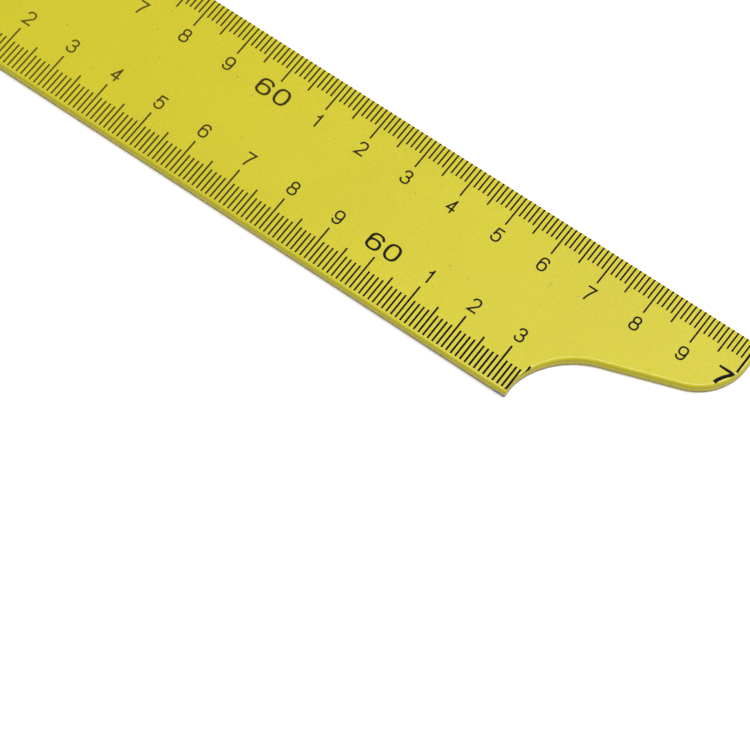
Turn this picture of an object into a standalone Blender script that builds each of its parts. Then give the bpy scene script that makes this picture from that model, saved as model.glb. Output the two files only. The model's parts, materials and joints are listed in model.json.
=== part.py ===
# Steel L-square: one plate blanked from sheet steel, enamelled, with a printed scale on each long edge.
# The two arms meet at the heel. The long arm runs along +X from the heel, its outer edge at +Y,
# and the short arm runs along -Y. The printed front face looks up, +Z.
# The centre of the plate's outer box, on its back face, is the world origin.

import math

import bmesh
import bpy
from mathutils import Vector

# Plate, in metres
LONG_ARM_LENGTH = 0.700  # last graduation of the long arm, from the heel
SHORT_ARM_LENGTH = 0.300  # last graduation of the short arm, from the heel
END_MARGIN = 0.00075  # plate past the last graduation of each arm
LONG_ARM_WIDTH = 0.035
SHORT_ARM_WIDTH = 0.035
THICKNESS = 0.0022
FRONT_EDGE_ROUND = 0.0003  # the punch rolls this edge over
BACK_EDGE_ROUND = 0.00015  # enamel over the deburred edge
HEEL_RADIUS = 0.0006
INNER_CORNER_RADIUS = 0.001
SHORT_END_RADIUS = 0.0015

# Curved end of the long arm: a concave scoop, a straight slope and a convex nose
NOSE_RADIUS = 0.011
NOSE_DROP = 0.0045  # centre of the nose, below the outer edge
NOSE_CORNER_RADIUS = 0.0015
SCOOP_RADIUS = 0.016
SLOPE_ANGLE = math.radians(20)

# Printed ink
INK_THICKNESS = 0.00005
INK_SEAT_GAP = 0.00001  # between the enamel and the underside of the ink
LINE_WIDTH = 0.0003
OUTER_LINE_END = 0.00705  # end of a centimetre line, from the arm's outer edge
INNER_LINE_END = 0.0083  # end of a centimetre line, from the arm's inner edge
NUMBER_SPACE = 0.0008  # between the end of a line and its number
NUMBER_SHIFT = 0.00015  # a number is printed this far past its line, the way it reads
DIGIT_HEIGHT = 0.0037
DIGIT_WIDTH = 0.0029
DIGIT_SPACE = 0.00093
DIGIT_STROKE = 0.00044
DECADE = 0.100  # from one large number to the next

WELD = 0.000001

# Faces that meet at less than this are one face, and edges sharper than the other are left sharp
SAME_FACE_ANGLE = math.radians(1)
SHARP_ANGLE = math.radians(30)

# Facets
CORNER_STEPS = 4
ARC_STEPS = 14
EDGE_ROUND_STEPS = 3
RING_STEPS = 28

# Middle lines of each digit's strokes, as shares of the digit's box from its lower left corner.
# A bowl gives its middle, its half width and height, and the angles where it starts and ends.
DIGIT_SHARES = {
    "0": [[("bowl", (0.5, 0.5), (0.5, 0.5), 0, 360)]],
    "1": [[("line", (1, 0), (1, 1))], [("line", (0, 0.75), (0.5, 0.78), (0.9, 0.9))]],
    "2": [[("bowl", (0.5, 0.71), (0.48, 0.29), 165, -28), ("line", (0, 0), (1, 0))]],
    "3": [
        [("bowl", (0.47, 0.765), (0.42, 0.235), 172, -95)],
        [("bowl", (0.48, 0.27), (0.5, 0.27), 95, -172)],
    ],
    "4": [[("line", (0.72, 0), (0.72, 1))], [("line", (0.7, 0.95), (0.05, 0.27), (1, 0.27))]],
    "5": [
        [("line", (0.92, 1), (0.16, 1), (0.08, 0.48))],
        [("bowl", (0.47, 0.33), (0.5, 0.33), 145, -165)],
    ],
    "6": [
        [("bowl", (0.5, 0.31), (0.49, 0.31), 0, 360)],
        [("bowl", (0.52, 0.62), (0.5, 0.38), 28, 180), ("line", (0.01, 0.31))],
    ],
    "7": [[("line", (0, 1), (0.98, 1), (0.6, 0.55), (0.42, 0.25), (0.34, 0))]],
    "8": [
        [("bowl", (0.5, 0.76), (0.42, 0.24), 0, 360)],
        [("bowl", (0.5, 0.27), (0.5, 0.27), 0, 360)],
    ],
    "9": [
        [("bowl", (0.5, 0.69), (0.49, 0.31), 0, 360)],
        [("bowl", (0.48, 0.38), (0.5, 0.38), 208, 360), ("line", (0.99, 0.69))],
    ],
}
BOX_MIDDLE_SHARES = Vector((0.5, 0.5))
ONE_WIDTH_SHARE = 0.42  # of a full digit's width
FLAT_STROKE_SHARE = 0.78  # a level stroke's thickness, as a share of an upright one's
BOWL_POWER = 2.4  # the bowls are squarer than an ellipse, which has 2

LONG_ARM_REACH = LONG_ARM_LENGTH + END_MARGIN
SHORT_ARM_REACH = SHORT_ARM_LENGTH + END_MARGIN

YELLOW = (0.70, 0.63, 0.07, 1.0)
BLACK = (0.01, 0.01, 0.02, 1.0)


def clear_scene():
    for old in list(bpy.data.objects):
        bpy.data.objects.remove(old, do_unlink=True)


def new_collection(name):
    collection = bpy.data.collections.new(name)
    bpy.context.scene.collection.children.link(collection)
    return collection


def new_material(name, colour, roughness, metallic):
    material = bpy.data.materials.new(name)
    material.use_nodes = True
    shader = material.node_tree.nodes["Principled BSDF"]
    shader.inputs["Base Color"].default_value = colour
    shader.inputs["Roughness"].default_value = roughness
    shader.inputs["Metallic"].default_value = metallic
    return material


def arc(centre, radius, start, end, steps):
    """Points of a circle's arc, with start and end in degrees."""
    points = []
    for step in range(steps + 1):
        angle = math.radians(start + (end - start) * step / steps)
        points.append(centre + radius * Vector((math.cos(angle), math.sin(angle))))
    return points


def curved_end():
    """Centres of the nose and the scoop, and the scoop's radius, on the long arm."""
    along = Vector((math.cos(SLOPE_ANGLE), math.sin(SLOPE_ANGLE)))
    across = Vector((-along.y, along.x))
    nose = Vector((LONG_ARM_REACH - NOSE_RADIUS, -NOSE_DROP))
    # The slope leaves the nose at a tangent, and the scoop leaves the slope at one.
    nose_foot = nose - NOSE_RADIUS * across
    room = LONG_ARM_WIDTH + nose_foot.y
    scoop_radius = min(SCOOP_RADIUS, room / across.y)
    run = (room * across.y - scoop_radius) / along.y
    scoop = Vector((nose_foot.x - run, -LONG_ARM_WIDTH))
    return nose, scoop, scoop_radius


def plate_outline():
    """Points of the plate, anticlockwise, from the heel's outer corner at zero."""
    slope = math.degrees(SLOPE_ANGLE)
    nose, scoop, scoop_radius = curved_end()
    heel = Vector((HEEL_RADIUS, -HEEL_RADIUS))
    end_left = Vector((SHORT_END_RADIUS, SHORT_END_RADIUS - SHORT_ARM_REACH))
    end_right = Vector((SHORT_ARM_WIDTH - SHORT_END_RADIUS, end_left.y))
    inner = Vector((SHORT_ARM_WIDTH + INNER_CORNER_RADIUS, -LONG_ARM_WIDTH - INNER_CORNER_RADIUS))
    tip = Vector((LONG_ARM_REACH - NOSE_CORNER_RADIUS, -NOSE_CORNER_RADIUS))

    points = arc(heel, HEEL_RADIUS, 90, 180, CORNER_STEPS)
    points += arc(end_left, SHORT_END_RADIUS, 180, 270, CORNER_STEPS)
    points += arc(end_right, SHORT_END_RADIUS, 270, 360, CORNER_STEPS)
    points += arc(inner, INNER_CORNER_RADIUS, 180, 90, CORNER_STEPS)
    points += arc(scoop, scoop_radius, 180, 90 + slope, ARC_STEPS)
    points += arc(nose, NOSE_RADIUS, slope - 90, 0, ARC_STEPS)
    points += arc(tip, NOSE_CORNER_RADIUS, 0, 90, CORNER_STEPS)
    return points


def flat_mesh(name, outlines, thickness):
    """A closed plate with the given outlines: the first is its edge and any other is a hole."""
    curve = bpy.data.curves.new(name, "CURVE")
    curve.dimensions = "2D"
    curve.fill_mode = "BOTH"
    curve.extrude = thickness / 2
    for outline in outlines:
        spline = curve.splines.new("POLY")
        spline.points.add(len(outline) - 1)
        for point, place in zip(spline.points, outline):
            point.co = (place.x, place.y, 0, 1)
        spline.use_cyclic_u = True
    guide = bpy.data.objects.new(name, curve)
    bpy.context.scene.collection.objects.link(guide)
    bpy.context.view_layer.update()
    evaluated = guide.evaluated_get(bpy.context.evaluated_depsgraph_get())
    mesh = bpy.data.meshes.new_from_object(evaluated)
    bpy.data.objects.remove(guide, do_unlink=True)

    shape = bmesh.new()
    shape.from_mesh(mesh)
    bmesh.ops.remove_doubles(shape, verts=shape.verts, dist=WELD)
    bmesh.ops.dissolve_limit(shape, verts=shape.verts, edges=shape.edges, angle_limit=SAME_FACE_ANGLE)
    bmesh.ops.recalc_face_normals(shape, faces=shape.faces)
    shape.to_mesh(mesh)
    shape.free()
    return mesh


def add_object(name, mesh, material, collection, parent):
    mesh.name = name
    mesh.materials.clear()
    mesh.materials.append(material)
    item = bpy.data.objects.new(name, mesh)
    collection.objects.link(item)
    item.parent = parent
    return item


def add_plate(collection, material, parent):
    mesh = flat_mesh("steel_plate", [plate_outline()], THICKNESS)
    weights = mesh.attributes.new("bevel_weight_edge", "FLOAT", "EDGE")
    for edge, weight in zip(mesh.edges, weights.data):
        ends = [mesh.vertices[index].co.z for index in edge.vertices]
        if min(ends) > 0:
            weight.value = 1
        elif max(ends) < 0:
            weight.value = BACK_EDGE_ROUND / FRONT_EDGE_ROUND
    plate = add_object("steel_plate", mesh, material, collection, parent)
    plate.location.z = THICKNESS / 2
    rounding = plate.modifiers.new("edge_round", "BEVEL")
    rounding.limit_method = "WEIGHT"
    rounding.width = FRONT_EDGE_ROUND
    rounding.segments = EDGE_ROUND_STEPS
    rounding.use_clamp_overlap = False
    mesh.shade_smooth()
    mesh.set_sharp_from_angle(angle=SHARP_ANGLE)
    return plate


def bowl(middle, half, start, end):
    """Points of a bowl in a digit's box, with start and end in degrees."""
    steps = RING_STEPS if end - start == 360 else ARC_STEPS
    points = []
    for step in range(steps + 1):
        angle = math.radians(start + (end - start) * step / steps)
        across = math.copysign(abs(math.cos(angle)) ** (2 / BOWL_POWER), math.cos(angle))
        up = math.copysign(abs(math.sin(angle)) ** (2 / BOWL_POWER), math.sin(angle))
        points.append(Vector((middle[0] + half[0] * across, middle[1] + half[1] * up)))
    return points


def digit_strokes(digit):
    """Middle lines of a digit's strokes in its unit box, each with True if it closes on itself."""
    strokes = []
    for stretches in DIGIT_SHARES[digit]:
        points = []
        for kind, *values in stretches:
            points += bowl(*values) if kind == "bowl" else [Vector(place) for place in values]
        closed = (points[0] - points[-1]).length < WELD
        strokes.append((points[:-1] if closed else points, closed))
    return strokes


def beside(points, closed, offset):
    """The line that runs beside the given one at an even distance, on its left."""
    result = []
    count = len(points)
    for index, point in enumerate(points):
        before = points[index - 1] if closed or index > 0 else None
        after = points[(index + 1) % count] if closed or index < count - 1 else None
        sides = [pair for pair in ((before, point), (point, after)) if None not in pair]
        normals = []
        for start, end in sides:
            run = (end - start).normalized()
            normals.append(Vector((-run.y, run.x)))
        middle = sum(normals, Vector((0, 0))).normalized()
        result.append(point + middle * (offset / middle.dot(normals[0])))
    return result


def stroke_mesh(name, points, closed):
    """A stroke of ink along its middle line. An open one has square ends, half a stroke past its line."""
    half = DIGIT_STROKE / 2
    if closed:
        outlines = [beside(points, True, -half), beside(points, True, half)]
    else:
        start = points[0] + (points[0] - points[1]).normalized() * half
        end = points[-1] + (points[-1] - points[-2]).normalized() * half
        longer = [start] + points[1:-1] + [end]
        outlines = [beside(longer, False, half) + beside(longer, False, -half)[::-1]]
    for outline in outlines:
        for point in outline:
            point.y *= FLAT_STROKE_SHARE
    return flat_mesh(name, outlines, INK_THICKNESS)


def join_meshes(name, first, second):
    """One closed mesh from two that overlap."""
    base = bpy.data.objects.new(name, first)
    added = bpy.data.objects.new(name + "_added", second)
    for item in (base, added):
        bpy.context.scene.collection.objects.link(item)
    union = base.modifiers.new("union", "BOOLEAN")
    union.operation = "UNION"
    union.solver = "EXACT"
    union.object = added
    bpy.context.view_layer.update()
    evaluated = base.evaluated_get(bpy.context.evaluated_depsgraph_get())
    mesh = bpy.data.meshes.new_from_object(evaluated)
    for item in (base, added):
        bpy.data.objects.remove(item, do_unlink=True)
    return mesh


def digit_mesh(digit):
    """A digit of ink, centred on its box. It is drawn taller and pressed to its height with its strokes."""
    width = DIGIT_WIDTH * (ONE_WIDTH_SHARE if digit == "1" else 1)
    box = Vector((width - DIGIT_STROKE, DIGIT_HEIGHT / FLAT_STROKE_SHARE - DIGIT_STROKE))
    mesh = None
    for points, closed in digit_strokes(digit):
        placed = [(point - BOX_MIDDLE_SHARES) * box for point in points]
        stroke = stroke_mesh("digit_" + digit, placed, closed)
        mesh = join_meshes("digit_" + digit, mesh, stroke) if mesh else stroke
    return mesh


def line_mesh(name, width, length):
    corners = [(-1, -1), (1, -1), (1, 1), (-1, 1)]
    return flat_mesh(name, [[Vector((x * width, y * length)) / 2 for x, y in corners]], INK_THICKNESS)


class Scale:
    """One printed scale: where its zero is, which way it counts and which way its numbers read."""

    def __init__(self, name, zero, along, inward, reading, line_end, last):
        self.name = name
        self.zero = Vector(zero)
        self.along = Vector(along)
        self.inward = Vector(inward)
        self.reading = Vector(reading)
        self.line_end = line_end
        self.last = last

    def has_room(self, distance, sideways):
        """Whether a digit fits on the flat of the arm, moved along its own reading from a graduation."""
        reach = distance + self.along.dot(self.reading) * sideways + DIGIT_WIDTH / 2
        return reach < self.last - FRONT_EDGE_ROUND

    def put(self, item, distance, depth, sideways=0):
        """Places an item at a reading, at a depth from the edge, moved along its own reading."""
        place = self.zero + self.along * distance + self.inward * depth + self.reading * sideways
        item.location = (place.x, place.y, THICKNESS + INK_SEAT_GAP + INK_THICKNESS / 2)
        item.rotation_euler.z = math.atan2(self.reading.y, self.reading.x)


def printed_scales():
    inner_corner = (SHORT_ARM_WIDTH, -LONG_ARM_WIDTH)
    right, left, up, down = (1, 0), (-1, 0), (0, 1), (0, -1)
    scoop, scoop_radius = curved_end()[1:]
    inner_edge = scoop.x - scoop_radius - SHORT_ARM_WIDTH
    return [
        Scale("long_outer", (0, 0), right, down, right, OUTER_LINE_END, LONG_ARM_REACH),
        Scale("long_inner", inner_corner, right, up, right, INNER_LINE_END, inner_edge),
        Scale("short_outer", (0, 0), down, right, up, OUTER_LINE_END, SHORT_ARM_REACH),
        Scale("short_inner", inner_corner, down, left, up, INNER_LINE_END, SHORT_ARM_REACH - LONG_ARM_WIDTH),
    ]


def add_scale_print(scale, collection, ink, parent):
    """The line at each decade and its number, from the first digit on, as far as the arm has room."""
    line_start = FRONT_EDGE_ROUND
    line_length = scale.line_end - line_start
    number_depth = scale.line_end + NUMBER_SPACE + DIGIT_HEIGHT / 2
    for decade in range(1, int(scale.last / DECADE) + 1):
        number = f"{decade}0"
        name = f"{scale.name}_{number}"
        distance = decade * DECADE
        mark = add_object(name + "_line", line_mesh(name, LINE_WIDTH, line_length), ink, collection, parent)
        scale.put(mark, distance, line_start + line_length / 2)
        for index, digit in enumerate(number):
            shift = (index - (len(number) - 1) / 2) * (DIGIT_WIDTH + DIGIT_SPACE) + NUMBER_SHIFT
            if not scale.has_room(distance, shift):
                break
            item = add_object(f"{name}_digit_{index + 1}", digit_mesh(digit), ink, collection, parent)
            scale.put(item, distance, number_depth, shift)


def main():
    clear_scene()
    square = new_collection("steel_l_square")
    enamel = new_material("yellow_enamelled_steel", YELLOW, 0.38, 0.0)
    ink = new_material("black_printing_ink", BLACK, 0.5, 0.0)

    heel = bpy.data.objects.new("heel_corner", None)
    square.objects.link(heel)
    heel.location = (-LONG_ARM_REACH / 2, SHORT_ARM_REACH / 2, 0)

    add_plate(square, enamel, heel)
    for scale in printed_scales():
        add_scale_print(scale, square, ink, heel)


main()
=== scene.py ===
import json
import math

import bmesh
import bpy
from mathutils import Matrix, Quaternion, Vector
from mathutils.bvhtree import BVHTree

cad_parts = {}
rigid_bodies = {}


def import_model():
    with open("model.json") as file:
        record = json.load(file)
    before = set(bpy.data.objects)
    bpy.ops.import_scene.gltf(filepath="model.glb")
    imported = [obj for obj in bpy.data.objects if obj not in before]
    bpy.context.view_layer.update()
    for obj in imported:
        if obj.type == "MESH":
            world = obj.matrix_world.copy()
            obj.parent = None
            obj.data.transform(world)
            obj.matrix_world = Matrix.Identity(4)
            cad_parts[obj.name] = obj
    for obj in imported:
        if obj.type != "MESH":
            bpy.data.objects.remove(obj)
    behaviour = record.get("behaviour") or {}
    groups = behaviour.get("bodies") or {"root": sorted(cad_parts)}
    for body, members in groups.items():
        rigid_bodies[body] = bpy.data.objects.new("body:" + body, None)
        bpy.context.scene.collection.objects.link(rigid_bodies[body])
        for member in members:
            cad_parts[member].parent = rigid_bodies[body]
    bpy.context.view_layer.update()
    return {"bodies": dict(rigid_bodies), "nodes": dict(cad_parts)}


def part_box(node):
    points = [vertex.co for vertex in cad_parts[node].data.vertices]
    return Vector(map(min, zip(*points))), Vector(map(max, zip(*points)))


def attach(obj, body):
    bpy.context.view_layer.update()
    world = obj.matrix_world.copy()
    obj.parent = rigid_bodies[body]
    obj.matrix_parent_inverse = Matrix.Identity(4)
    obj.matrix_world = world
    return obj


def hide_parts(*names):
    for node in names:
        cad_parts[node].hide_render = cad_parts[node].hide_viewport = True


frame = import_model()
root = list(frame["bodies"])[0]
mm = 0.001
plateLow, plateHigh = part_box("steel_plate")
heelCorner = Vector((plateLow.x, plateHigh.y, 0))  # outer corner, zero of both outer scales
longReach = plateHigh.x - plateLow.x
shortReach = plateHigh.y - plateLow.y
thickness = plateHigh.z
print("frame loaded:", len(frame["nodes"]), "nodes")


# Helpers

# sRGB hex to the linear values that a shader takes
def hexColour(code):
    values = [int(code[i:i + 2], 16) / 255 for i in (0, 2, 4)]
    return tuple(v / 12.92 if v <= 0.04045 else ((v + 0.055) / 1.055) ** 2.4 for v in values) + (1.0,)


# One shader node: settings by property or input, links by input, and the stops of a colour ramp.
# A link from a whole node is from its first output.
def addNode(tree, kind, settings=None, links=None, stops=()):
    node = tree.nodes.new(kind)
    for name, value in (settings or {}).items():
        if isinstance(name, str) and hasattr(node, name):
            setattr(node, name, value)
        else:
            node.inputs[name].default_value = value
    for index, (place, code) in enumerate(stops):
        elements = node.color_ramp.elements
        element = elements[index] if index < len(elements) else elements.new(place)
        element.position = place
        element.color = hexColour(code)
    for name, source in (links or {}).items():
        socket = source if isinstance(source, bpy.types.NodeSocket) else source.outputs[0]
        tree.links.new(socket, node.inputs[name])
    return node


def newMaterial(name):
    material = bpy.data.materials.new(name)
    material.use_nodes = True
    material.node_tree.nodes.clear()
    return material, material.node_tree


# Turns a bmesh into a piece that rides on the square
def finishPiece(name, bm, materials, replaces=()):
    mesh = bpy.data.meshes.new(name)
    bm.to_mesh(mesh)
    bm.free()
    piece = bpy.data.objects.new(name, mesh)
    bpy.context.scene.collection.objects.link(piece)
    for material in materials:
        mesh.materials.append(material)
    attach(piece, root)
    if replaces:
        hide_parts(*replaces)
    return piece


# Materials

enamel = {
    "colour": "DDD212",
    "deep": "D2C60C",  # where the coat lies thicker
    "peel": 1.3 * mm,  # width of the ripples of orange peel
    "grain": 0.35 * mm,  # fine tooth, drawn coarser than it is so that it shows
    "cloud": 35 * mm,
    "cloudShare": 0.35,
    "specks": ("6F7440", "B4703C", "8A8458"),  # dust caught in the coat
    "speckCell": 4.5 * mm,
    "speckSize": 0.34 * mm,
    "speckBend": 0.25 * mm,
    "scuff": "A39A3C",
    "scuffAt": (663.55, -12.2),  # from the heel, in mm
    "scuffSize": (0.17 * mm, 0.72 * mm),
}


# Stoving enamel, sprayed on and baked: an even satin yellow with a faint orange peel, a fine tooth and a few
# specks of dust. It flows glossier over the rolled edge, which then draws a thin bright line.
def makeEnamel():
    material, tree = newMaterial("yellow stoving enamel")
    point = addNode(tree, "ShaderNodeTexCoord").outputs["Object"]
    cloud = addNode(tree, "ShaderNodeTexNoise", {"Scale": 1 / enamel["cloud"], "Detail": 3}, {"Vector": point})
    grain = addNode(tree, "ShaderNodeTexNoise", {"Scale": 1 / enamel["grain"], "Detail": 2, "Roughness": 0.6},
                    {"Vector": point})
    tone = addNode(tree, "ShaderNodeMix", {0: enamel["cloudShare"]}, {2: grain, 3: cloud})
    coat = addNode(tree, "ShaderNodeValToRGB", None, {0: tone},
                   [(0.36, enamel["deep"]), (0.64, enamel["colour"])])

    # a speck lies near the middle of about half of the cells, its size, strength and colour drawn for each
    ragged = addNode(tree, "ShaderNodeTexNoise", {"Scale": 1 / (2 * enamel["speckBend"])}, {"Vector": point})
    bent = addNode(tree, "ShaderNodeVectorMath", {"operation": "MULTIPLY_ADD", 1: (enamel["speckBend"],) * 3},
                   {0: ragged.outputs["Color"], 2: point})
    cells = addNode(tree, "ShaderNodeTexVoronoi", {"voronoi_dimensions": "2D", "Scale": 1 / enamel["speckCell"]},
                    {"Vector": bent})
    chance = addNode(tree, "ShaderNodeSeparateColor", None, {"Color": cells.outputs["Color"]})
    reach = addNode(tree, "ShaderNodeMath", {"operation": "MULTIPLY",
                    1: enamel["speckSize"] / enamel["speckCell"] / 2}, {0: chance.outputs["Green"]})
    dot = addNode(tree, "ShaderNodeMath", {"operation": "LESS_THAN"}, {0: cells, 1: reach})
    shows = addNode(tree, "ShaderNodeMapRange", {"From Min": 0.4, "From Max": 1.0, "To Max": 0.75},
                    {"Value": chance.outputs["Red"]})
    strength = addNode(tree, "ShaderNodeMath", {"operation": "MULTIPLY"}, {0: dot, 1: shows})
    dust = addNode(tree, "ShaderNodeValToRGB", None, {0: chance.outputs["Blue"]},
                   list(zip((0.2, 0.5, 0.8), enamel["specks"])))
    dusty = addNode(tree, "ShaderNodeMix", {"data_type": "RGBA"}, {0: strength, 6: coat, 7: dust})

    # one short scuff near the end of the arm
    centre = heelCorner + Vector((*enamel["scuffAt"], 0)) * mm
    scale = Vector((1 / enamel["scuffSize"][0], 1 / enamel["scuffSize"][1], 0))
    inScuff = addNode(tree, "ShaderNodeMapping", {"Location": -centre * scale, "Scale": scale}, {0: bent})
    away = addNode(tree, "ShaderNodeVectorMath", {"operation": "LENGTH"}, {0: inScuff})
    scuff = addNode(tree, "ShaderNodeMapRange", {"From Min": 1.3, "From Max": 0.4, "To Max": 0.6},
                    {"Value": away.outputs["Value"]})
    painted = addNode(tree, "ShaderNodeMix", {"data_type": "RGBA", 7: hexColour(enamel["scuff"])},
                      {0: scuff, 6: dusty.outputs[2]})

    peel = addNode(tree, "ShaderNodeTexNoise", {"Scale": 1 / enamel["peel"], "Detail": 1.5}, {"Vector": point})
    ripple = addNode(tree, "ShaderNodeBump", {"Strength": 0.35, "Distance": 0.03 * mm}, {"Height": peel})
    tooth = addNode(tree, "ShaderNodeBump", {"Strength": 0.25, "Distance": 0.012 * mm},
                    {"Height": grain, "Normal": ripple})
    satin = addNode(tree, "ShaderNodeMapRange", {"To Min": 0.22, "To Max": 0.3}, {"Value": cloud})
    height = addNode(tree, "ShaderNodeSeparateXYZ", None, {0: point}).outputs["Z"]
    rough = addNode(tree, "ShaderNodeMapRange", {"From Min": thickness - 0.02 * mm,
                    "From Max": thickness - 0.002 * mm, "To Min": 0.16}, {"Value": height, "To Max": satin})
    shader = addNode(tree, "ShaderNodeBsdfPrincipled", {"IOR": 1.5, "Specular IOR Level": 0.4},
                     {"Base Color": painted.outputs[2], "Roughness": rough, "Normal": tooth})
    addNode(tree, "ShaderNodeOutputMaterial", None, {"Surface": shader})
    return material


cutEdge = {
    "land": "D0C620",  # the smooth part of the cut, under enamel
    "landHeight": 1.1 * mm,  # where the smooth part ends, from the back
    "landWave": 0.35 * mm,
    "waveLength": 2.5 * mm,
    "torn": "E5D756",  # the torn part of the cut takes the coat thinner
    "tornDark": "D1C44F",
    "streak": 0.4 * mm,
    "lipWearAndShade": "8E8886",  # lower rim: grey of coat worn off there, and painted shade where the edge meets the floor
    "lipWearAndShadeHeight": 0.1 * mm,
    "lipWearAndShadeFade": 0.6 * mm,
    "rubAndShadeFrom": 615 * mm,  # the rim's grey grows from here to the end of the inner edge: worn more where the hand holds it, and more painted shade
    "rubAndShadeShares": (0.4, 1.0),
    "paleLipFrom": 669 * mm,  # past here, inside the scoop and round the nose, the rim's grey is paler: hardly worn, and less painted shade
    "paleLipShare": 0.25,
    "steel": "DCD6D0",
    "steelDark": "2C2828",
    "grit": 0.3 * mm,
    "chipAt": (668.35, -35.0, 0.45),  # chip at the end of the inner edge, from the heel, in mm
    "chipSize": (0.75 * mm, 1.0 * mm, 0.5 * mm),
}


# Edge of a blank cut in a press, under the same enamel: duller than the face, greener on the smooth part,
# streaked where the steel tore, a grey lower rim of worn coat and painted contact shade, and bare steel at one
# chip.
def makeCutEdge():
    material, tree = newMaterial("enamelled blanked edge")
    point = addNode(tree, "ShaderNodeTexCoord").outputs["Object"]
    height = addNode(tree, "ShaderNodeSeparateXYZ", None, {0: point}).outputs["Z"]
    along = addNode(tree, "ShaderNodeMapping", {"Scale": (1, 1, 0.1)}, {0: point})
    wave = addNode(tree, "ShaderNodeTexNoise", {"Scale": 1 / cutEdge["waveLength"], "Detail": 3},
                   {"Vector": along})
    rise = addNode(tree, "ShaderNodeMapRange", {"To Min": -cutEdge["landWave"] / 2,
                   "To Max": cutEdge["landWave"] / 2}, {"Value": wave})
    wavy = addNode(tree, "ShaderNodeMath", {"operation": "ADD"}, {0: rise, 1: height})
    land = addNode(tree, "ShaderNodeMapRange", {"From Min": cutEdge["landHeight"] - 0.15 * mm,
                   "From Max": cutEdge["landHeight"] + 0.15 * mm}, {"Value": wavy})
    drawn = addNode(tree, "ShaderNodeMapping", {"Scale": (1, 1, 0.22)}, {0: point})
    streak = addNode(tree, "ShaderNodeTexNoise", {"Scale": 1 / cutEdge["streak"], "Detail": 3,
                     "Roughness": 0.65}, {"Vector": drawn})
    torn = addNode(tree, "ShaderNodeValToRGB", None, {0: streak},
                   [(0.3, cutEdge["tornDark"]), (0.55, cutEdge["torn"])])
    coated = addNode(tree, "ShaderNodeMix", {"data_type": "RGBA", 7: hexColour(cutEdge["land"])},
                     {0: land, 6: torn})
    ends = addNode(tree, "ShaderNodeSeparateXYZ", None, {0: point}).outputs["X"]
    # the grey lower rim is worn coat and painted shade where the edge meets the floor, stronger towards the end
    # of the inner edge and paler inside the scoop and round the nose
    lipGreyAlong = addNode(tree, "ShaderNodeMapRange", {"From Min": heelCorner.x + cutEdge["rubAndShadeFrom"],
                      "From Max": heelCorner.x + cutEdge["paleLipFrom"], "To Min": cutEdge["rubAndShadeShares"][0],
                      "To Max": cutEdge["rubAndShadeShares"][1]}, {"Value": ends})
    lipGreyShare = addNode(tree, "ShaderNodeMapRange", {"From Min": heelCorner.x + cutEdge["paleLipFrom"],
                      "From Max": heelCorner.x + cutEdge["paleLipFrom"] + 3 * mm, "To Max": cutEdge["paleLipShare"]},
                      {"Value": ends, "To Min": lipGreyAlong})
    # painted shade and wear: the lowest part of the cut is mixed towards grey
    lipWearAndShadeMask = addNode(tree, "ShaderNodeMapRange", {"From Min": cutEdge["lipWearAndShadeHeight"],
                     "From Max": cutEdge["lipWearAndShadeHeight"] + cutEdge["lipWearAndShadeFade"], "To Max": 0.0},
                     {"Value": wavy, "To Min": lipGreyShare})
    colour = addNode(tree, "ShaderNodeMix", {"data_type": "RGBA", 7: hexColour(cutEdge["lipWearAndShade"])},
                     {0: lipWearAndShadeMask, 6: coated.outputs[2]})
    flat = addNode(tree, "ShaderNodeMix", {3: 0.5}, {0: land, 2: streak})
    bump = addNode(tree, "ShaderNodeBump", {"Strength": 0.5, "Distance": 0.06 * mm}, {"Height": flat})
    rough = addNode(tree, "ShaderNodeMapRange", {"To Min": 0.5, "To Max": 0.38}, {"Value": land})
    coat = addNode(tree, "ShaderNodeBsdfPrincipled", {"IOR": 1.5, "Specular IOR Level": 0.15},
                   {"Base Color": colour.outputs[2], "Roughness": rough, "Normal": bump})

    # chip: a ragged oval of bare steel
    centre = heelCorner + Vector(cutEdge["chipAt"]) * mm
    scale = Vector([1 / size for size in cutEdge["chipSize"]])
    inChip = addNode(tree, "ShaderNodeMapping", {"Location": -centre * scale, "Scale": scale}, {0: point})
    away = addNode(tree, "ShaderNodeVectorMath", {"operation": "LENGTH"}, {0: inChip})
    grit = addNode(tree, "ShaderNodeTexNoise", {"Scale": 1 / cutEdge["grit"], "Detail": 3, "Roughness": 0.7},
                   {"Vector": point})
    ragged = addNode(tree, "ShaderNodeMath", {"operation": "MULTIPLY_ADD", 1: 1.2},
                     {0: grit, 2: away.outputs["Value"]})
    bare = addNode(tree, "ShaderNodeMath", {"operation": "LESS_THAN", 1: 1.6}, {0: ragged})
    steelColour = addNode(tree, "ShaderNodeValToRGB", None, {0: grit},
                          [(0.42, cutEdge["steelDark"]), (0.52, cutEdge["steel"])])
    steelBump = addNode(tree, "ShaderNodeBump", {"Strength": 0.6, "Distance": 0.05 * mm}, {"Height": grit})
    steel = addNode(tree, "ShaderNodeBsdfPrincipled", {"Metallic": 0.7, "Roughness": 0.5},
                    {"Base Color": steelColour, "Normal": steelBump})
    both = addNode(tree, "ShaderNodeMixShader", None, {0: bare, 1: coat, 2: steel})
    addNode(tree, "ShaderNodeOutputMaterial", None, {"Surface": both})
    return material


ink = {
    "solid": "060610",
    "thin": "655B1A",  # the yellow shows through
    "grain": 0.18 * mm,
    "patch": 60 * mm,
    "wornAt": 552 * mm,  # handled thin round here, along the long arm from the heel
    "wornReach": 110 * mm,
}


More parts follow.
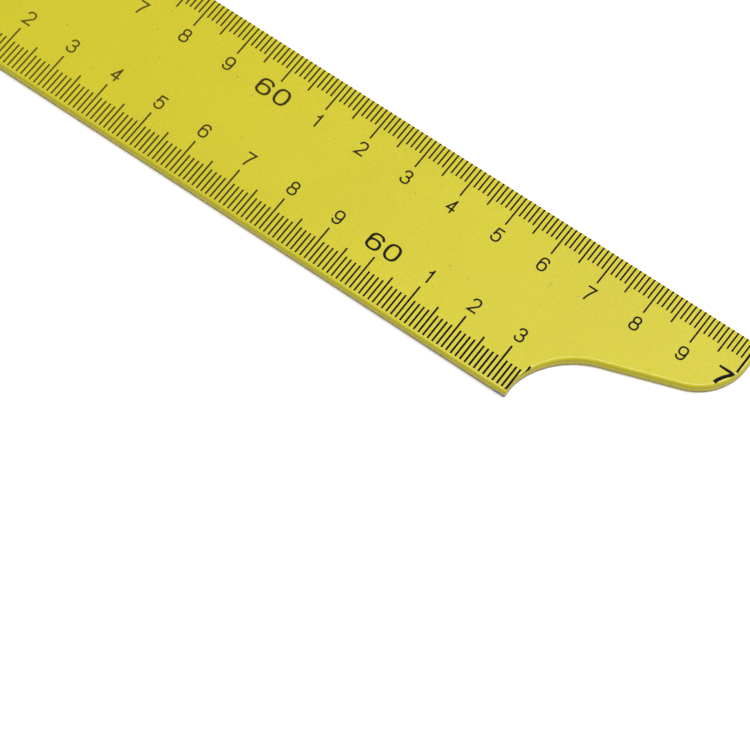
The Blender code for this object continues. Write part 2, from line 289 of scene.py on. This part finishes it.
# Screen printed ink, hand squeegeed: near black with a cold cast and hardly any shine, browner and a little
# see-through where it has been handled.
def makeInk():
    material, tree = newMaterial("black screen ink")
    point = addNode(tree, "ShaderNodeTexCoord").outputs["Object"]
    along = addNode(tree, "ShaderNodeSeparateXYZ", None, {0: point}).outputs["X"]
    offset = addNode(tree, "ShaderNodeMath", {"operation": "SUBTRACT", 1: heelCorner.x + ink["wornAt"]},
                     {0: along})
    away = addNode(tree, "ShaderNodeMath", {"operation": "ABSOLUTE"}, {0: offset})
    worn = addNode(tree, "ShaderNodeMapRange", {"From Max": ink["wornReach"], "To Min": 0.35, "To Max": -0.65},
                   {"Value": away})
    patch = addNode(tree, "ShaderNodeTexNoise", {"Scale": 1 / ink["patch"]}, {"Vector": point})
    grain = addNode(tree, "ShaderNodeTexNoise", {"Scale": 1 / ink["grain"], "Detail": 3, "Roughness": 0.6},
                    {"Vector": point})
    uneven = addNode(tree, "ShaderNodeMath", {"operation": "MULTIPLY_ADD", 1: 0.6}, {0: patch, 2: worn})
    tone = addNode(tree, "ShaderNodeMath", {"operation": "MULTIPLY_ADD", 1: 0.5}, {0: grain, 2: uneven})
    colour = addNode(tree, "ShaderNodeValToRGB", None, {0: tone}, [(0.05, ink["solid"]), (0.95, ink["thin"])])
    bump = addNode(tree, "ShaderNodeBump", {"Strength": 0.3, "Distance": 0.01 * mm}, {"Height": grain})
    rough = addNode(tree, "ShaderNodeMapRange", {"To Min": 0.35, "To Max": 0.5}, {"Value": grain})
    shader = addNode(tree, "ShaderNodeBsdfPrincipled", {"IOR": 1.5, "Specular IOR Level": 0.06},
                     {"Base Color": colour, "Roughness": rough, "Normal": bump})
    addNode(tree, "ShaderNodeOutputMaterial", None, {"Surface": shader})
    return material


enamelMaterial = makeEnamel()
edgeMaterial = makeCutEdge()
inkMaterial = makeInk()
print("materials made")


# Plate: one blank, drawn with a pen that runs round its outline

plate = {
    "armWidth": 35 * mm,
    "heelRadius": 0.6 * mm,
    "innerRadius": 1.0 * mm,
    "endRadius": 1.5 * mm,
    "noseRadius": 11 * mm,
    "noseDrop": 4.5 * mm,  # nose centre below the outer edge
    "noseCorner": 1.5 * mm,
    "scoopRadius": 16 * mm,
    "slope": math.radians(20),
    "chipCorner": 0.4 * mm,  # the sharp end of the inner edge, knocked round
    "flare": 0.45 * mm,  # the scoop's curve opens a little towards that corner
    "flareLength": 5 * mm,
    "rollover": 0.6 * mm,  # front edge, drawn down by the punch: longer than it is deep
    "rolloverDrop": 0.3 * mm,
    "rolloverSteps": 8,
    "backRound": 0.3 * mm,
    "landHeight": 1.15 * mm,  # the torn band starts under this
    "tornDepth": 0.03 * mm,
    "arcSteps": 48,
    "cornerSteps": 8,
    "panel": 20.3 * mm,
}


# Centres of the nose and the scoop, and the foot of the nose between them, from the heel corner
def curvedEnd():
    slope = plate["slope"]
    across = Vector((-math.sin(slope), math.cos(slope), 0))
    nose = Vector((longReach - plate["noseRadius"], -plate["noseDrop"], 0))
    noseFoot = nose - plate["noseRadius"] * across
    run = ((plate["armWidth"] + noseFoot.y) * across.y - plate["scoopRadius"]) / math.sin(slope)
    scoop = Vector((noseFoot.x - run, -plate["armWidth"], 0))
    return nose, noseFoot, scoop


def drawTo(bm, pen, place):
    pen = bmesh.ops.extrude_vert_indiv(bm, verts=[pen])["verts"][0]
    pen.co = place
    return pen


def drawArc(bm, pen, centre, angle, steps):
    turned = bmesh.ops.spin(bm, geom=[pen], cent=centre, axis=(0, 0, 1), angle=angle, steps=steps)
    return [item for item in turned["geom_last"] if isinstance(item, bmesh.types.BMVert)][0]


def makePlate():
    bm = bmesh.new()
    width, corner, quarter = plate["armWidth"], plate["cornerSteps"], math.pi / 2
    nose, noseFoot, scoop = curvedEnd()
    first = bm.verts.new(scoop - Vector((plate["scoopRadius"], 0, 0)))
    pen = drawArc(bm, first, scoop, plate["slope"] - quarter, plate["arcSteps"])
    for vert in bm.verts:
        share = 1 - (vert.co.y - first.co.y) / plate["flareLength"]
        vert.co.x += plate["flare"] * max(share, 0) ** 2
    pen = drawTo(bm, pen, noseFoot)
    pen = drawArc(bm, pen, nose, quarter - plate["slope"], plate["arcSteps"])
    corners = [  # where each straight stretch ends, the centre of the corner after it, its turn
        ((longReach, -plate["noseCorner"]), (-1, 0), plate["noseCorner"], 1),
        ((plate["heelRadius"], 0), (0, -1), plate["heelRadius"], 1),
        ((0, plate["endRadius"] - shortReach), (1, 0), plate["endRadius"], 1),
        ((width - plate["endRadius"], -shortReach), (0, 1), plate["endRadius"], 1),
        ((width, -width - plate["innerRadius"]), (1, 0), plate["innerRadius"], -1),
    ]
    for place, inward, radius, turn in corners:
        place = Vector((*place, 0))
        pen = drawTo(bm, pen, place)
        pen = drawArc(bm, pen, place + Vector((*inward, 0)) * radius, turn * quarter, corner)
    bm.edges.new((pen, first))
    bmesh.ops.contextual_create(bm, geom=bm.edges[:])
    raised = bmesh.ops.extrude_face_region(bm, geom=bm.faces[:])["geom"]
    bmesh.ops.translate(bm, verts=[v for v in raised if isinstance(v, bmesh.types.BMVert)],
                        vec=(0, 0, thickness))
    bmesh.ops.recalc_face_normals(bm, faces=bm.faces[:])

    point = first.co.copy()
    knocked = [e for e in bm.edges if all((v.co.xy - point.xy).length < mm / 100 for v in e.verts)]
    bmesh.ops.bevel(bm, geom=knocked, offset=plate["chipCorner"], segments=5, profile=0.5, affect="EDGES",
                    material=-1, clamp_overlap=False)

    # rolled front edge, and a light round on the back
    for level, radius, steps in ((thickness, plate["rollover"], plate["rolloverSteps"]),
                                 (0, plate["backRound"], 3)):
        rim = [e for e in bm.edges if all(abs(v.co.z - level) < mm / 100 for v in e.verts)]
        bmesh.ops.bevel(bm, geom=rim, offset=radius, segments=steps, profile=0.5, affect="EDGES",
                        material=-1, clamp_overlap=False)

    for vert in bm.verts:
        sunk = thickness - vert.co.z
        if sunk < plate["rollover"] + mm / 100:
            vert.co.z = thickness - sunk * plate["rolloverDrop"] / plate["rollover"]

    # the torn lower half of the cut stands back a hair from the smooth land
    for level in (plate["landHeight"], plate["landHeight"] - 0.1 * mm):
        bmesh.ops.bisect_plane(bm, geom=bm.verts[:] + bm.edges[:] + bm.faces[:], dist=mm / 1000,
                               plane_co=(0, 0, level), plane_no=(0, 0, 1))
    bm.normal_update()
    for vert in bm.verts:
        if plate["backRound"] < vert.co.z + mm / 100 and vert.co.z < plate["landHeight"] - 0.05 * mm:
            side = Vector((vert.normal.x, vert.normal.y, 0)).normalized()
            vert.co -= side * plate["tornDepth"]

    # cut into panels, so that no face is long and thin
    for axis, reach in (((1, 0, 0), longReach), ((0, -1, 0), shortReach)):
        for count in range(1, int(reach / plate["panel"]) + 1):
            bmesh.ops.bisect_plane(bm, geom=bm.verts[:] + bm.edges[:] + bm.faces[:], dist=mm / 1000,
                                   plane_co=Vector(axis) * plate["panel"] * count, plane_no=axis)
    for face in bm.faces:
        face.smooth = True
        face.material_index = 1 if -0.95 < face.normal.z < 0.2 else 0
    bmesh.ops.translate(bm, verts=bm.verts[:], vec=heelCorner)
    return bm


plateMesh = makePlate()
plateSurface = BVHTree.FromBMesh(plateMesh)
plateObject = finishPiece("enamelled_plate", plateMesh, [enamelMaterial, edgeMaterial],
                          ["steel_plate"])
shading = plateObject.modifiers.new("even shading", "WEIGHTED_NORMAL")
shading.mode = "FACE_AREA"
print("plate made:", len(plateObject.data.polygons), "faces")


# Printed scales

lines = {
    "outerWidth": 0.33 * mm,
    "innerWidth": 0.34 * mm,
    "swell": 0.07 * mm,  # an inner scale prints heavier towards its end
    "swellReach": 40 * mm,
    "lastWidth": 0.44 * mm,  # an outer scale's last line, where the edge falls away and the ink ran
    "lastShift": 0.08 * mm,  # an inner scale's last lines stand a little short of their place
    "ink": 0.02 * mm,  # how far the ink stands proud
    "hair": 0.001 * mm,
    "flatter": Vector((0.1, 0.2, 1)),  # up, and a little aside, so that no two facets are equal
    "outerLengths": (4.1 * mm, 5.6 * mm, 7.05 * mm),  # millimetre, five and ten, from the edge
    "innerLengths": (5.35 * mm, 6.85 * mm, 8.3 * mm),
    "outerStart": 0.03 * mm,  # the print runs over the far edge
    "innerStart": 0.53 * mm,
    "reach": 0.42 * mm,  # ink wraps this far over an edge
    "corner": 0.6 * mm,  # kept clear where two scales meet at the heel
}
numbers = {
    "small": {"height": 3.05 * mm, "width": 1.92 * mm, "stroke": 0.35 * mm, "levelShare": 1.0},
    "large": {"height": 3.8 * mm, "width": 3.02 * mm, "stroke": 0.54 * mm, "levelShare": 0.74},
    "lap": 0.002 * mm,  # a digit's second stroke lies this much lower than its first
    "outerDepth": 9.68 * mm,  # middle of the digits, from the edge
    "innerDepth": 11.05 * mm,
    "ink": 0.02 * mm,
    "shift": 0.08 * mm,  # printed this far past their line
    "oneShare": 0.48,
    "bowlPower": 2.4,  # squarer than an ellipse, which has 2
    "bowlSteps": 12,
    "ringSteps": 24,
}
tipSeven = {
    "standsFor": "long_outer_70_digit_1",
    "height": 3.75 * mm,
    "width": 3.4 * mm,
    "shift": (0.05 * mm, 0.3 * mm),  # it slipped towards the end of the arm
    "heaviest": 0.76 * mm,
    "pressShares": (0.58, 0.85, 0.9, 0.95, 1.0),  # of the heaviest stroke, from the bar to the foot
    "bleed": 0.05 * mm,
}

# Middle lines of the digits, as shares of a digit's box. A bowl has a middle, half sizes and two angles.
digitShares = {
    "0": [[("bowl", (0.5, 0.5), (0.5, 0.5), 0, 360)]],
    "1": [[("line", (1, 0), (1, 1))], [("line", (0, 0.75), (0.5, 0.78), (0.9, 0.9))]],
    "2": [[("bowl", (0.5, 0.71), (0.48, 0.29), 165, -28), ("line", (0, 0), (1, 0))]],
    "3": [[("bowl", (0.47, 0.765), (0.42, 0.235), 172, -95)], [("bowl", (0.48, 0.27), (0.5, 0.27), 95, -172)]],
    "4": [[("line", (0.72, 0), (0.72, 1))], [("line", (0.7, 0.95), (0.05, 0.27), (1, 0.27))]],
    "5": [[("line", (0.92, 1), (0.16, 1), (0.08, 0.48))], [("bowl", (0.47, 0.33), (0.5, 0.33), 145, -165)]],
    "6": [[("bowl", (0.5, 0.31), (0.49, 0.31), 0, 360)],
          [("bowl", (0.52, 0.62), (0.5, 0.38), 28, 180), ("line", (0.01, 0.31))]],
    "7": [[("line", (0, 1), (0.98, 1), (0.6, 0.55), (0.42, 0.25), (0.34, 0))]],
    "8": [[("bowl", (0.5, 0.76), (0.42, 0.24), 0, 360)], [("bowl", (0.5, 0.27), (0.5, 0.27), 0, 360)]],
    "9": [[("bowl", (0.5, 0.69), (0.49, 0.31), 0, 360)],
          [("bowl", (0.48, 0.38), (0.5, 0.38), 208, 360), ("line", (0.99, 0.69))]],
}


def bowl(middle, half, start, end):
    full = end - start == 360
    steps = numbers["ringSteps"] if full else numbers["bowlSteps"]
    power = 2 / numbers["bowlPower"]
    points = []
    for step in range(steps if full else steps + 1):
        angle = math.radians(start + (end - start) * step / steps)
        c, s = math.cos(angle), math.sin(angle)
        points.append((middle[0] + half[0] * math.copysign(abs(c) ** power, c),
                       middle[1] + half[1] * math.copysign(abs(s) ** power, s)))
    return points, full


# A digit as upright walls on its middle lines, which a Solidify widens to strokes. The press group gives each
# point's share of the heaviest stroke: a large digit's level strokes are lighter.
def addDigit(bm, press, digit, size, place):
    wide = size["width"] * (numbers["oneShare"] if digit == "1" else 1) - size["stroke"]
    tall = size["height"] - size["stroke"]
    for index, stretches in enumerate(digitShares[digit]):
        points, closed = [], False
        for kind, *values in stretches:
            if kind == "bowl":
                more, closed = bowl(*values)
                points += more
            else:
                points += values
        flat = [Vector(((x - 0.5) * wide, (y - 0.5) * tall, 0)) for x, y in points]
        if not closed:
            half = size["stroke"] / 2
            flat[0] += (flat[0] - flat[1]).normalized() * half
            flat[-1] += (flat[-1] - flat[-2]).normalized() * half
        verts = [bm.verts.new(place @ point) for point in flat]
        for vert, before, after in zip(verts, flat[-1:] + flat, flat[1:] + flat[:1]):
            way = after - before if closed or vert not in (verts[0], verts[-1]) else flat[1] - flat[0]
            upright = abs(way.normalized().y)
            share = upright + (1 - upright) * size["levelShare"]
            vert[press][0] = share * size["stroke"] / numbers["large"]["stroke"]
        edges = [bm.edges.new(pair) for pair in zip(verts, verts[1:])]
        if closed:
            edges.append(bm.edges.new((verts[-1], verts[0])))
        walls = bmesh.ops.extrude_edge_only(bm, edges=edges)["geom"]
        bmesh.ops.translate(bm, verts=[v for v in walls if isinstance(v, bmesh.types.BMVert)],
                            vec=(0, 0, numbers["ink"] - index * numbers["lap"]))


# One printed scale: its zero, the way it counts, the way into the arm and the way its numbers read
class Scale:
    def __init__(self, name, zero, along, inward, reading, outer, last):
        self.name = name
        self.zero = heelCorner + Vector((*zero, thickness))
        self.along = Vector((*along, 0))
        self.inward = Vector((*inward, 0))
        self.reading = Vector((*reading, 0))
        self.outer = outer
        self.last = last
        self.lengths = lines["outerLengths"] if outer else lines["innerLengths"]
        self.start = lines["outerStart"] if outer else lines["innerStart"]

    def place(self, distance, depth):
        return self.zero + self.along * distance + self.inward * depth

    # a digit's own frame, its X the way the scale's numbers read
    def digitPlace(self, spot):
        up = Vector((-self.reading.y, self.reading.x, 0))
        return Matrix.Translation(spot) @ Matrix((self.reading, up, (0, 0, 1))).transposed().to_4x4()


# The nearest place on the enamel for a point of the print: straight down, or over the edge if that is near.
# On an edge between two facets either may be found, so the flatter one is taken, to print alike on each run.
def drape(spot):
    place, normal, _, _ = plateSurface.ray_cast(spot + Vector((0, 0, mm)), (0, 0, -1))
    away = 0
    if not place:
        place, normal, _, away = plateSurface.find_nearest(spot)
    facets = [normal] + [near[1] for near in plateSurface.find_nearest_range(place, lines["hair"])]
    flatter = max(facets, key=lambda facet: facet.dot(lines["flatter"]))
    return place + flatter * lines["ink"], away


# Stations along a line: on the facets of the rolled edge first, then the straight rest
def lineDepths(scale, end, fine):
    roll, steps = plate["rollover"], plate["rolloverSteps"]
    depths = [roll * (1 - math.sin(math.radians(90) * step / steps)) for step in range(steps, -1, -1)]
    depths = [scale.start] + [d for d in depths if scale.start + 0.01 * mm < d < end]
    if fine:
        count = int((end - depths[-1]) / (0.3 * mm))
        depths += [depths[-1] + (end - depths[-1]) * step / count for step in range(1, count)]
    return depths + [end]


# A graduation laid on the enamel, also over the rolled edge. What would hang past the edge is left out.
def addLine(bm, scale, reading):
    size = 2 if reading % 10 == 0 else 1 if reading % 5 == 0 else 0
    end = scale.lengths[size]
    distance = reading * mm
    nearEnd = scale.last - distance < 3 * mm
    veryLast = scale.last - distance < 1.5 * mm
    if scale.outer:
        end = min(end, distance - lines["corner"])
        width = lines["lastWidth"] if veryLast else lines["outerWidth"]
    else:
        nearness = 1 - (scale.last - distance) / lines["swellReach"]
        width = lines["innerWidth"] + lines["swell"] * max(nearness, 0)
        if veryLast:
            distance -= lines["lastShift"]
    depths = lineDepths(scale, end, nearEnd)
    strip = bmesh.ops.create_grid(bm, x_segments=5 if nearEnd else 1, y_segments=len(depths) - 1, size=0.5)
    hanging = []
    for vert in strip["verts"]:
        depth = depths[round((vert.co.y + 0.5) * (len(depths) - 1))]
        vert.co, away = drape(scale.place(distance + vert.co.x * width, depth))
        if away > lines["reach"]:
            hanging.append(vert)
    bmesh.ops.delete(bm, geom=hanging, context="VERTS")


def makeScale(scale):
    bm = bmesh.new()
    for reading in range(1, int(scale.last / mm) + 1):
        if not scale.outer or reading * mm > 2 * lines["corner"]:
            addLine(bm, scale, reading)
    bmesh.ops.delete(bm, geom=[v for v in bm.verts if not v.link_faces], context="VERTS")
    bm.normal_update()
    bmesh.ops.reverse_faces(bm, faces=[f for f in bm.faces if f.normal.z < 0])
    stands = [name for name in frame["nodes"] if name.startswith(scale.name) and name.endswith("line")]
    piece = finishPiece(scale.name + "_lines", bm, [inkMaterial], stands)
    film = piece.modifiers.new("ink film", "SOLIDIFY")
    film.thickness = 1.5 * lines["ink"]
    film.offset = -1

    bm = bmesh.new()
    press = bm.verts.layers.deform.new()
    firstNumber = 2 if scale.name == "short_outer" else 1  # its 1 would meet the long arm's
    for centimetre in range(firstNumber, int(scale.last / (10 * mm)) + 1):
        if centimetre % 10:
            depth = numbers["outerDepth"] if scale.outer else numbers["innerDepth"]
            spot = scale.place(centimetre * 10 * mm, depth) + scale.reading * numbers["shift"]
            addDigit(bm, press, str(centimetre % 10), numbers["small"], scale.digitPlace(spot))
    stands = [name for name in frame["nodes"] if name.startswith(scale.name) and "digit" in name]
    stands = sorted(name for name in stands if name != tipSeven["standsFor"])
    for name in stands:
        reading, _, index = name.split("_")[2:]
        low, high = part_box(name)
        spot = Vector(((low.x + high.x) / 2, (low.y + high.y) / 2, thickness))
        addDigit(bm, press, reading[int(index) - 1], numbers["large"], scale.digitPlace(spot))
    piece = finishPiece(scale.name + "_numbers", bm, [inkMaterial], stands)
    piece.vertex_groups.new(name="press")
    pen = piece.modifiers.new("stroke", "SOLIDIFY")
    pen.thickness = numbers["large"]["stroke"]
    pen.offset = 0
    pen.vertex_group = "press"
    pen.use_even_offset = True
    print("printed:", scale.name)


# The last number prints bolder than the others: the stencil left the plate where the edge falls away
def makeTipSeven():
    low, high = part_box(tipSeven["standsFor"])
    middle = Vector(((low.x + high.x) / 2, (low.y + high.y) / 2, thickness)) + Vector((*tipSeven["shift"], 0))
    wide, tall = (tipSeven[size] - numbers["small"]["stroke"] for size in ("width", "height"))
    bm = bmesh.new()
    press = bm.verts.layers.deform.new()
    verts = []
    for (x, y), share in zip(digitShares["7"][0][0][1:], tipSeven["pressShares"]):
        vert = bm.verts.new(middle + Vector(((x - 0.5) * wide, (y - 0.5) * tall, 0)))
        vert[press][0] = share
        verts.append(vert)
    edges = [bm.edges.new(pair) for pair in zip(verts, verts[1:])]
    bmesh.ops.subdivide_edges(bm, edges=edges, cuts=3, fractal=tipSeven["bleed"] / mm, seed=4)
    for vert in bm.verts:
        vert.co.z = thickness
    walls = bmesh.ops.extrude_edge_only(bm, edges=bm.edges[:])["geom"]
    bmesh.ops.translate(bm, verts=[v for v in walls if isinstance(v, bmesh.types.BMVert)],
                        vec=(0, 0, numbers["ink"]))
    piece = finishPiece("bold_seven", bm, [inkMaterial], [tipSeven["standsFor"]])
    piece.vertex_groups.new(name="press")
    pen = piece.modifiers.new("stroke", "SOLIDIFY")
    pen.thickness = tipSeven["heaviest"]
    pen.offset = 0
    pen.vertex_group = "press"
    print("printed: the bold seven")


right, left, up, down = (1, 0), (-1, 0), (0, 1), (0, -1)
innerCorner = (plate["armWidth"], -plate["armWidth"])
innerLast = curvedEnd()[2].x - plate["scoopRadius"] - plate["armWidth"] + 1.3 * mm
for scale in (
    Scale("long_outer", (0, 0), right, down, right, True, longReach),
    Scale("long_inner", innerCorner, right, up, right, False, innerLast),
    Scale("short_outer", (0, 0), down, right, up, True, shortReach),
    Scale("short_inner", innerCorner, down, left, up, False, shortReach - plate["armWidth"]),
):
    makeScale(scale)
makeTipSeven()


# Floor, light and camera

floor = {
    "size": 3.0,
    "paper": ("F2F2F0", "F6F6F4"),
    "tooth": 1.5 * mm,
    "lift": (1.67, 1.7, 1.95),  # seen directly; colder than white, against the yellow thrown by the square
    "reflected": 0.2,  # share of that lift in reflections, which makes it plain white there
    "contact": 0.18 * mm,  # the darkest part of the shadow reaches this far
    "farFrom": 0.5,  # the lamps reach less from here on, and the lift grows to make up for it
    "farLift": 1.7,
}


# Matt white paper: seen directly it is lifted to white, and only the shadow by the square stays
def makeFloor():
    material, tree = newMaterial("white paper")
    point = addNode(tree, "ShaderNodeTexCoord").outputs["Object"]
    tooth = addNode(tree, "ShaderNodeTexNoise", {"Scale": 1 / floor["tooth"], "Detail": 3}, {"Vector": point})
    paper = addNode(tree, "ShaderNodeValToRGB", None, {0: tooth},
                    [(0.3, floor["paper"][0]), (0.7, floor["paper"][1])])
    rays = addNode(tree, "ShaderNodeLightPath").outputs
    mirrored = addNode(tree, "ShaderNodeMath", {"operation": "MAXIMUM"},
                       {0: rays["Is Glossy Ray"], 1: rays["Is Transmission Ray"]})
    seen = addNode(tree, "ShaderNodeMath", {"operation": "MULTIPLY_ADD", 1: floor["reflected"]},
                   {0: mirrored, 2: rays["Is Camera Ray"]})
    near = addNode(tree, "ShaderNodeAmbientOcclusion", {"Distance": floor["contact"], "samples": 8})
    contact = addNode(tree, "ShaderNodeMath", {"operation": "POWER", 1: 1.5}, {0: near.outputs["AO"]})
    spread = addNode(tree, "ShaderNodeVectorMath", {"operation": "LENGTH"}, {0: point})
    far = addNode(tree, "ShaderNodeMapRange", {"From Min": floor["farFrom"], "From Max": floor["size"] / 2,
                  "To Min": 1.0, "To Max": floor["farLift"]}, {"Value": spread.outputs["Value"]})
    strength = addNode(tree, "ShaderNodeMath", {"operation": "MULTIPLY"}, {0: contact, 1: far})
    bright = addNode(tree, "ShaderNodeVectorMath", {"operation": "SCALE", 0: floor["lift"]},
                     {"Scale": strength})
    lifted = addNode(tree, "ShaderNodeVectorMath", {"operation": "MULTIPLY"}, {0: paper, 1: bright})
    shown = addNode(tree, "ShaderNodeMix", {"data_type": "VECTOR"}, {0: seen, 4: paper, 5: lifted})
    diffuse = addNode(tree, "ShaderNodeBsdfDiffuse", None, {"Color": shown.outputs[1]})
    addNode(tree, "ShaderNodeOutputMaterial", None, {"Surface": diffuse})
    bm = bmesh.new()
    bmesh.ops.create_grid(bm, x_segments=1, y_segments=1, size=floor["size"] / 2)
    mesh = bpy.data.meshes.new("floor")
    bm.to_mesh(mesh)
    bm.free()
    mesh.materials.append(material)
    sheet = bpy.data.objects.new("floor", mesh)
    bpy.context.scene.collection.objects.link(sheet)


room = 0.42  # light from all round
lamps = [  # name, place, aim, turn, width and length in metres, brightness
    ("back softbox", (0.34, 0.9, 1.5), (0.2, 0.1, 0), 0, 0.95, 0.8, 1.68),
    ("strip light", (0.41, 0.425, 1.385), (0.365, 0.195, 0), math.radians(-34), 0.2, 1.235, 12.1),
]


def makeLight():
    for name, place, aim, turn, width, length, brightness in lamps:
        data = bpy.data.lights.new(name, "AREA")
        data.shape = "RECTANGLE"
        data.size = width
        data.size_y = length
        data.energy = brightness * math.pi * width * length
        lamp = bpy.data.objects.new(name, data)
        lamp.location = place
        look = (Vector(aim) - Vector(place)).to_track_quat("-Z", "Y")
        lamp.rotation_euler = (look @ Quaternion((0, 0, 1), turn)).to_euler()
        bpy.context.scene.collection.objects.link(lamp)
    world = bpy.data.worlds.new("studio")
    bpy.context.scene.world = world
    world.use_nodes = True
    tree = world.node_tree
    tree.nodes.clear()
    rays = addNode(tree, "ShaderNodeLightPath").outputs
    mirrored = addNode(tree, "ShaderNodeMath", {"operation": "MAXIMUM"},
                       {0: rays["Is Glossy Ray"], 1: rays["Is Transmission Ray"]})
    seen = addNode(tree, "ShaderNodeMath", {"operation": "MAXIMUM"}, {0: rays["Is Camera Ray"], 1: mirrored})
    strength = addNode(tree, "ShaderNodeMapRange", {"To Min": room, "To Max": 1.0}, {"Value": seen})
    sky = addNode(tree, "ShaderNodeBackground", {"Color": (1, 1, 1, 1)}, {"Strength": strength})
    addNode(tree, "ShaderNodeOutputWorld", None, {"Surface": sky})


camera = {
    "place": (0.461019, -0.178515, 0.626944),
    "aim": (0.297915, 0.105295, 0.0),
    "roll": math.radians(6.224),
    "lens": 191.62,
    "sensor": 36.0,
}


def makeCamera():
    data = bpy.data.cameras.new("camera")
    data.lens = camera["lens"]
    data.sensor_width = camera["sensor"]
    data.clip_start = 0.01
    body = bpy.data.objects.new("camera", data)
    body.location = camera["place"]
    look = (Vector(camera["aim"]) - Vector(camera["place"])).to_track_quat("-Z", "Y")
    body.rotation_euler = (look @ Quaternion((0, 0, 1), camera["roll"])).to_euler()
    bpy.context.scene.collection.objects.link(body)
    bpy.context.scene.camera = body


makeFloor()
makeLight()
makeCamera()
bpy.context.scene.view_settings.view_transform = "Standard"
print("stage set")

bpy.context.view_layer.update()
